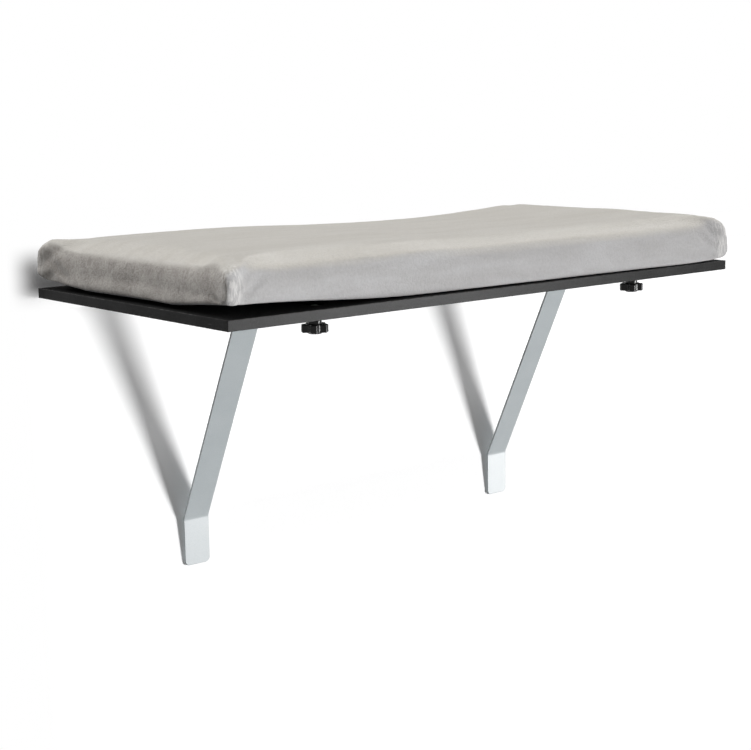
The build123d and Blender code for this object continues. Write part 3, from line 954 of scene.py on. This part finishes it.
def make_card():
    outline = (
        (-sheet_reach, floor_level),
        (gap_at_foot, floor_level),
        (gap_at_foot, toe_foot),
        (gap_at_bend, toe_bend),
        (gap_at_top, wall_top),
        (board_rear + panel_gap, panel_foot),
        (board_rear + panel_gap, sheet_reach),
    )
    open_gap = 4
    corners = [(x, y, z) for y, z in outline for x in (-sheet_reach, sheet_reach)]
    faces = [(2 * i, 2 * i + 1, 2 * i + 3, 2 * i + 2)
             for i in range(len(outline) - 1) if i != open_gap]
    mesh = bpy.data.meshes.new("white_card")
    mesh.from_pydata(corners, [], faces)
    mesh.materials.append(make_card_finish())
    card = bpy.data.objects.new("white_card", mesh)
    bpy.context.scene.collection.objects.link(card)
    card.visible_diffuse = False
    card.visible_shadow = False


make_card()


# Light
# A broad soft lamp low at the front right, which throws the brackets' shadows on the
# wall, a softer one high at the back left, and an even white surround.

front_azimuth = math.radians(38.5)
front_dip = -0.08
front_strength, front_softness = 1.07, 15
top_direction = (-0.36, 0.44, 0.82)
top_strength, top_softness = 1.0, 50
surround_strength = 0.22


def make_lamp(name, direction, strength, softness):
    lamp = bpy.data.lights.new(name, "SUN")
    lamp.energy = strength * math.pi
    lamp.angle = math.radians(softness)
    holder = bpy.data.objects.new(name, lamp)
    holder.rotation_mode = "QUATERNION"
    holder.rotation_quaternion = (-Vector(direction)).to_track_quat("-Z", "Y")
    bpy.context.scene.collection.objects.link(holder)


def make_surround():
    # It lights the object softly, and is plain white where it is seen or mirrored.
    world = bpy.data.worlds.new("surround")
    world.use_nodes = True
    tree = world.node_tree
    soft = tree.nodes["Background"]
    feed(tree, soft.inputs, {"Color": grey(1.0), "Strength": surround_strength})
    seen = add(tree, "ShaderNodeBackground", {"Color": grey(1.0), "Strength": 1.0})
    path = add(tree, "ShaderNodeLightPath", {}).outputs
    direct = math_node(tree, "MAXIMUM", path["Is Camera Ray"], path["Is Glossy Ray"])
    direct = math_node(tree, "MAXIMUM", direct, path["Is Transmission Ray"])
    either = add(tree, "ShaderNodeMixShader", {0: direct, 1: soft.outputs[0], 2: seen.outputs[0]})
    tree.links.new(either.outputs[0], tree.nodes["World Output"].inputs["Surface"])
    bpy.context.scene.world = world


front_direction = (math.sin(front_azimuth), -math.cos(front_azimuth), front_dip)
make_lamp("front_lamp", front_direction, front_strength, front_softness)
make_lamp("top_lamp", top_direction, top_strength, top_softness)
make_surround()


# Camera
# It stands at the front left, a little above the board, as the photo's did. Its place
# and angles were fitted to the corners of the board and the bends of the brackets.

camera_azimuth = math.radians(-39.71)
camera_elevation = math.radians(10.02)
camera_roll = math.radians(-0.84)
camera_place = (-0.970, -1.200, 0.1745)
photo_width = 751
focal_length_in_pixels = 1550
sensor_width_mm = 36


def make_camera():
    back = Vector((
        math.sin(camera_azimuth) * math.cos(camera_elevation),
        -math.cos(camera_azimuth) * math.cos(camera_elevation),
        math.sin(camera_elevation),
    ))
    right = (-back).cross(Vector((0, 0, 1))).normalized()
    up = right.cross(-back)
    rolled_right = math.cos(camera_roll) * right + math.sin(camera_roll) * up
    rolled_up = -math.sin(camera_roll) * right + math.cos(camera_roll) * up
    turn = Matrix((rolled_right, rolled_up, back)).transposed()
    data = bpy.data.cameras.new("camera")
    data.sensor_width = sensor_width_mm
    data.lens = sensor_width_mm * focal_length_in_pixels / photo_width
    camera = bpy.data.objects.new("camera", data)
    camera.matrix_world = Matrix.Translation(camera_place) @ turn.to_4x4()
    bpy.context.scene.collection.objects.link(camera)
    bpy.context.scene.camera = camera


make_camera()
bpy.context.scene.view_settings.view_transform = "Standard"
